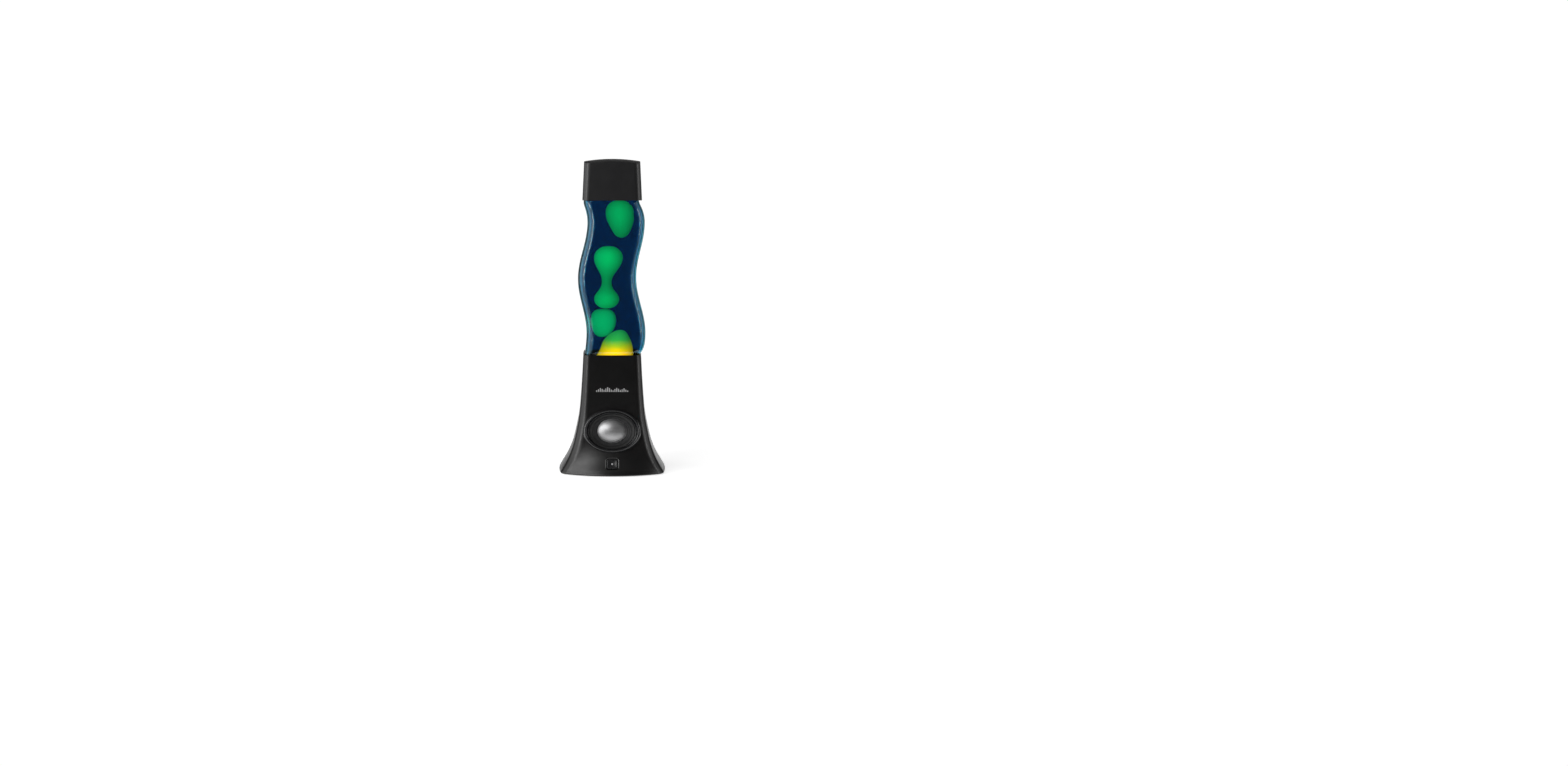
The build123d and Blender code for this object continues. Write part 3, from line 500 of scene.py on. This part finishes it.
def add_coil():
    """Coiled wire lying round the bottle's floor."""
    curve = bpy.data.curves.new("wire_helix", "CURVE")
    curve.dimensions = "3D"
    curve.bevel_depth = 0.0003
    curve.bevel_resolution = 3
    line = curve.splines.new("POLY")
    turns, per_turn = 46, 14
    ring_r, turn_r, middle_z = 29.7, 0.8, 1.15
    line.points.add(turns * per_turn - 1)
    for i, point in enumerate(line.points):
        a = 2 * math.pi * i / per_turn
        b = 2 * math.pi * i / (turns * per_turn)
        r = (ring_r + turn_r * math.cos(a)) * MM
        z = BOTTLE_FLOOR + (middle_z + turn_r * math.sin(a)) * MM
        point.co = (r * math.cos(b), r * math.sin(b), z, 1.0)
    line.use_cyclic_u = True
    coil = bpy.data.objects.new("wire_helix", curve)
    scene.collection.objects.link(coil)
    curve.materials.append(brushed_metal("coil_wire", (0.35, 0.35, 0.35), (0.7, 0.7, 0.7), 0.3))
    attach(coil, "bottle")
    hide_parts("wire_coil")


# ------------------------------------------------------------------ speaker
def seat_matrix(front, z, tilt):
    """Frame whose Z looks square out of the front at height z (mm), X along +X."""
    t = math.radians(tilt)
    out = Vector((0, -math.cos(t), math.sin(t)))
    along = Vector((1, 0, 0))
    up = out.cross(along)
    m = Matrix((along, up, out)).transposed().to_4x4()
    m.translation = Vector((0, -front, z)) * MM
    return m


SPEAKER = seat_matrix(48.4, 57.3, 12.7)
BUTTON = seat_matrix(61.5, 16.5, 26.0)
OVAL = 0.76
DOME_OVAL = 0.85
DOME_RAISE = 0.0013
DOME_MIDDLE = (0.0, -0.052, 0.056)


def oval_lathe(name, profile, material, body, place, ratio=OVAL, sides=128):
    """Turns a profile of (radius, height) in mm about the seat's axis and flattens it to the oval."""
    rings = []
    for r, z in profile:
        if r < 0.01:
            rings.append([place @ Vector((0, 0, z * MM))])
            continue
        ring = []
        for i in range(sides):
            a = 2 * math.pi * i / sides
            ring.append(place @ Vector((r * math.cos(a) * MM, r * ratio * math.sin(a) * MM, z * MM)))
        rings.append(ring)
    bm = bmesh.new()
    skin(bm, rings)
    return mesh_object(name, bm, material, body)


def closed_profile(top, thickness):
    """Loop of a sheet: the top line out and the same line back, lower by thickness."""
    back = [(r, z - thickness) for r, z in reversed(top)]
    return top + back + [top[0]]


def add_speaker():
    dark, light = (0.006, 0.006, 0.007), (0.010, 0.010, 0.011)
    gloss = grained_plastic("bezel_gloss", dark, light, 0.16, 400.0, 0.00001, 0.3)
    lip = smooth_path([
        (30.0, -4.8), (30.0, -2.4), (30.35, -1.35), (31.0, -1.0), (31.6, -1.3), (32.0, -1.1), (32.5, 0.6),
        (33.3, 2.4), (34.2, 3.1), (35.3, 3.0), (36.3, 2.2), (37.1, 0.9), (37.6, -0.8), (37.4, -5.0),
    ], 5)
    bezel = oval_lathe("bezel_ring", lip + [lip[0]], gloss, "base", SPEAKER)
    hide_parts("speaker_bezel")

    foam = rubbery("surround_rubber", (0.006, 0.006, 0.006), (0.012, 0.012, 0.012), 0.55)
    roll = smooth_path([
        (25.2, -6.9), (25.7, -6.3), (26.4, -5.2), (27.6, -4.2), (29.1, -3.7), (30.6, -4.2), (31.8, -5.4),
        (32.4, -6.8), (32.7, -7.3),
    ], 5)
    surround = oval_lathe("surround_roll", closed_profile(roll, 0.6), foam, "base", SPEAKER)
    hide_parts("speaker_surround")

    paper = rubbery("cone_fibre", (0.008, 0.008, 0.009), (0.02, 0.02, 0.021), 0.6)
    inner_r, outer_r, inner_z, outer_z = 10.6, 25.6, -11.2, -6.8
    rib, rib_pitch, first_rib = 0.22, 2.2, 18.0
    ribs = []
    for i in range(41):
        share = i / 40
        r = inner_r + (outer_r - inner_r) * share
        wave = rib * math.cos(r * 2 * math.pi / rib_pitch) if r > first_rib else 0.0
        ribs.append((r, inner_z + (outer_z - inner_z) * share + wave))
    cone = oval_lathe("cone_ribbed", closed_profile(ribs, 0.3), paper, "cone", SPEAKER)
    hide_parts("speaker_cone")

    dome = []
    base_r, base_z, rise, sheet = 19.4, -8.9, 6.0, 0.35
    ball = (base_r**2 + rise**2) / (2 * rise)
    for i in range(33):
        a = math.asin(base_r / ball) * i / 32
        dome.append((ball * math.sin(a), base_z + rise - ball * (1 - math.cos(a))))
    dome += [(19.9, base_z - 0.15), (20.0, base_z - 0.6), (19.2, base_z - 0.6)]
    inside = [(r * 0.98, z - sheet) for r, z in reversed(dome[:32])]
    raised = SPEAKER @ Matrix.Translation((0.0, DOME_RAISE, 0.0))
    profile = dome + inside[:-1] + [(0.0, base_z + rise - sheet)]
    dust = oval_lathe("dome_spun", profile, spun_metal(), "cone", raised, DOME_OVAL)
    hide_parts("dust_cap")


def spun_metal():
    """Brushed aluminium with fine turning rings."""
    m = Mat("dome_spun_metal", (0.5, 0.5, 0.52), 0.34, 1.0)
    middle = m.node("ShaderNodeVectorMath", operation="SUBTRACT")
    m.link(m.place(), middle.inputs[0])
    middle.inputs[1].default_value = DOME_MIDDLE
    squash = m.node("ShaderNodeVectorMath", operation="MULTIPLY")
    m.link(middle.outputs["Vector"], squash.inputs[0])
    squash.inputs[1].default_value = (1.0, 0.3, 1.28)
    distance = m.node("ShaderNodeVectorMath", operation="LENGTH")
    m.link(squash.outputs["Vector"], distance.inputs[0])
    rings = m.node("ShaderNodeTexNoise", noise_dimensions="1D")
    rings.inputs["Scale"].default_value = 1800.0
    rings.inputs["Detail"].default_value = 4.0
    m.link(distance.outputs["Value"], rings.inputs["W"])
    m.colour(m.ramp(rings.outputs["Fac"], [(0.3, (0.38, 0.38, 0.385)), (0.7, (0.56, 0.56, 0.565))]))
    m.rough(m.levels(rings.outputs["Fac"], 0.3, 0.7, 0.38, 0.5))
    m.bump(rings.outputs["Fac"], 0.00002, 0.4)
    return m.mat


# ------------------------------------------------------------------ button and mark
def rounded_loop(w, h, r, z, place, steps=8):
    """Rounded rectangle w by h, corner radius r, at height z (mm) in the frame of place."""
    cx, cy = w / 2 - r, h / 2 - r
    loop = []
    for x, y, start in ((cx, cy, 0), (-cx, cy, 90), (-cx, -cy, 180), (cx, -cy, 270)):
        for i in range(steps + 1):
            a = math.radians(start + 90 * i / steps)
            loop.append(place @ Vector(((x + r * math.cos(a)) * MM, (y + r * math.sin(a)) * MM, z * MM)))
    return loop


def add_button():
    black = grained_plastic("key_plastic", (0.008, 0.008, 0.009), (0.014, 0.014, 0.015), 0.28, 900.0, 0.00001)
    # rows of (width, height, corner radius, z)
    rows = [
        (13.6, 13.2, 2.6, -4.0), (13.6, 13.2, 2.6, -1.0), (13.5, 13.1, 2.55, -0.75), (13.1, 12.7, 2.4, -0.5),
        (12.2, 11.8, 2.1, -0.42), (10.6, 10.2, 1.9, -0.55), (8.0, 7.6, 3.6, -0.85), (5.2, 5.2, 2.58, -1.05),
        (2.4, 2.4, 1.19, -1.12),
    ]
    bm = bmesh.new()
    skin(bm, [rounded_loop(*row, BUTTON) for row in rows], close_first=True, close_last=True)
    key = mesh_object("button_key", bm, black, "button")
    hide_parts("push_button")

    dark, light = (0.004, 0.004, 0.004), (0.008, 0.008, 0.008)
    gloss = grained_plastic("frame_gloss", dark, light, 0.12, 400.0, 0.00001, 0.3)
    rows = [
        (17.9, 17.3, 3.5, -4.0), (17.9, 17.3, 3.5, -0.35), (17.7, 17.1, 3.4, -0.1), (16.9, 16.3, 3.1, -0.05),
        (15.2, 14.8, 2.9, -1.0), (14.3, 13.9, 2.8, -1.5), (14.1, 13.7, 2.8, -2.0), (14.1, 13.7, 2.8, -4.0),
        (17.9, 17.3, 3.5, -4.0),
    ]
    bm = bmesh.new()
    skin(bm, [rounded_loop(*row, BUTTON) for row in rows])
    rim = mesh_object("button_frame", bm, gloss, "base")
    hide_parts("button_bezel")

    silver = Mat("print_silver", (0.42, 0.42, 0.43), 0.45)
    silver.colour(silver.ramp(silver.noise(900.0), [(0.3, (0.34, 0.34, 0.35)), (0.7, (0.5, 0.5, 0.51))]))
    dot = [(0.0, -0.72), (0.7, -0.74), (1.15, -0.9), (1.25, -1.3), (0.0, -1.3)]
    lens = oval_lathe("button_dot", dot, silver.mat, "button", BUTTON, 1.0, 32)


def surface_y(tree, x, z):
    """Where the base's front skin lies at (x, z)."""
    hit = tree.ray_cast(Vector((x, -0.3, z)), Vector((0, 1, 0)))
    return hit[0].y


def add_mark():
    """A plain row of bars above the speaker."""
    tree = skin_of("base_shell")
    heights = (2.0, 3.4, 5.0, 3.8, 2.6, 4.4, 6.0, 4.8, 3.0, 2.0, 3.6, 5.2, 4.0, 2.4, 3.2, 4.6, 2.8, 1.8)
    pitch, width, base_z = 2.35, 1.3, 107.2
    sunk, proud = 0.0002, 0.00012
    bm = bmesh.new()
    for i, height in enumerate(heights):
        x0 = (i - (len(heights) - 1) / 2) * pitch - width / 2
        corners = []
        for dx, dz in ((0, 0), (width, 0), (width, height), (0, height)):
            x, z = (x0 + dx) * MM, (base_z + dz) * MM
            corners.append((x, surface_y(tree, x, z), z))
        back = [bm.verts.new((x, y + sunk, z)) for x, y, z in corners]
        front = [bm.verts.new((x, y - proud, z)) for x, y, z in corners]
        bm.faces.new(front)
        bm.faces.new(back[::-1])
        for k in range(4):
            j = (k + 1) % 4
            bm.faces.new((front[k], back[k], back[j], front[j]))
    ink = Mat("mark_ink", (0.5, 0.5, 0.5), 0.4)
    ink.colour(ink.ramp(ink.noise(700.0), [(0.3, (0.36, 0.36, 0.36)), (0.7, (0.55, 0.55, 0.55))]))
    mark = mesh_object("mark_bars", bm, ink.mat, "base", smooth=False)


# ------------------------------------------------------------------ materials of the CAD nodes
def circuit_board():
    """Green solder mask with pale tracks."""
    m = Mat("board_green", (0.01, 0.12, 0.04), 0.35)
    brick = m.node("ShaderNodeTexBrick")
    for key, value in (("Scale", 260.0), ("Mortar Size", 0.06), ("Brick Width", 0.9), ("Row Height", 0.35)):
        brick.inputs[key].default_value = value
    brick.inputs["Color1"].default_value = (0.008, 0.10, 0.035, 1.0)
    brick.inputs["Color2"].default_value = (0.012, 0.15, 0.05, 1.0)
    brick.inputs["Mortar"].default_value = (0.03, 0.25, 0.09, 1.0)
    m.link(m.place(), brick.inputs["Vector"])
    m.colour(brick.outputs["Color"])
    m.bump(brick.outputs["Fac"], 0.00003, 0.5)
    return m.mat


def clear_glass(name, tint=(1.0, 1.0, 1.0)):
    m = Mat(name, tint, 0.02, 0.0, Transmission_Weight=1.0, IOR=1.45)
    m.bump(m.noise(40.0, 2.0), 0.0001, 0.2)
    return m.mat


def add_materials():
    dress(grained_plastic("cap_plastic", (0.019, 0.019, 0.020), (0.023, 0.023, 0.024), 0.34), "top_cap")
    dress(grained_plastic("base_plastic", (0.0048, 0.0045, 0.0045), (0.0066, 0.0062, 0.0062), 0.30),
          "base_shell")
    dress(grained_plastic("plate_plastic", (0.01, 0.01, 0.01), (0.02, 0.02, 0.02), 0.5, 900.0, 0.00005),
          "bottom_plate")
    dress(bottle_glass(), "glass_bottle")
    dress(grained_plastic("switch_plastic", (0.02, 0.02, 0.02), (0.04, 0.04, 0.04), 0.45), "tact_switch",
          "amplifier_chip", "power_inlet")
    dress(grained_plastic("pale_resin", (0.55, 0.53, 0.48), (0.7, 0.68, 0.62), 0.45), "lamp_holder",
          "switch_plunger")
    dress(brushed_metal("closure_alloy", (0.45, 0.45, 0.46), (0.7, 0.7, 0.72), 0.35), "bottle_closure",
          "heat_shield", "wireless_module")
    dress(brushed_metal("bright_steel", (0.4, 0.4, 0.42), (0.7, 0.7, 0.72), 0.25), "speaker_screws",
          "button_board_screws", "shield_screws", "holder_screws", "board_screws", "bottom_screws",
          "inlet_pins", "magnet_top_plate", "speaker_yoke")
    dress(brushed_metal("old_brass", (0.45, 0.3, 0.1), (0.75, 0.55, 0.22), 0.35), "holder_shell",
          "centre_contact", "bulb_base", "bulb_filament")
    dress(brushed_metal("copper_wire", (0.5, 0.2, 0.08), (0.8, 0.4, 0.2), 0.35, (1.0, 1.0, 60.0)), "voice_coil")
    dress(rubbery("black_rubber", (0.01, 0.01, 0.01), (0.025, 0.025, 0.025)), "foot_1", "foot_2", "foot_3",
          "foot_4", "speaker_gasket", "speaker_basket", "speaker_magnet")
    dress(rubbery("pale_seal", (0.35, 0.35, 0.33), (0.5, 0.5, 0.48)), "bottle_gasket", "closure_liner")
    dress(rubbery("woven_spider", (0.35, 0.24, 0.1), (0.6, 0.45, 0.2)), "speaker_spider")
    dress(rubbery("red_sheath", (0.25, 0.01, 0.01), (0.4, 0.02, 0.02), 0.5), "lamp_leads", "mains_leads",
          "speaker_leads")
    dress(rubbery("taped_core", (0.45, 0.3, 0.05), (0.65, 0.45, 0.1), 0.5), "power_transformer")
    dress(grained_plastic("dark_sleeve", (0.01, 0.02, 0.05), (0.02, 0.04, 0.09), 0.3), "power_capacitor",
          "audio_capacitors")
    dress(circuit_board(), "button_board", "power_board", "audio_board")
    dress(clear_glass("bulb_clear"), "bulb_glass")
    dress(clear_glass("mount_clear", (0.9, 0.95, 0.95)), "bulb_mount", "fuse")


add_camera()
add_stage()
add_light()
add_materials()
add_liquid()
add_wax()
add_coil()
add_speaker()
add_button()
add_mark()
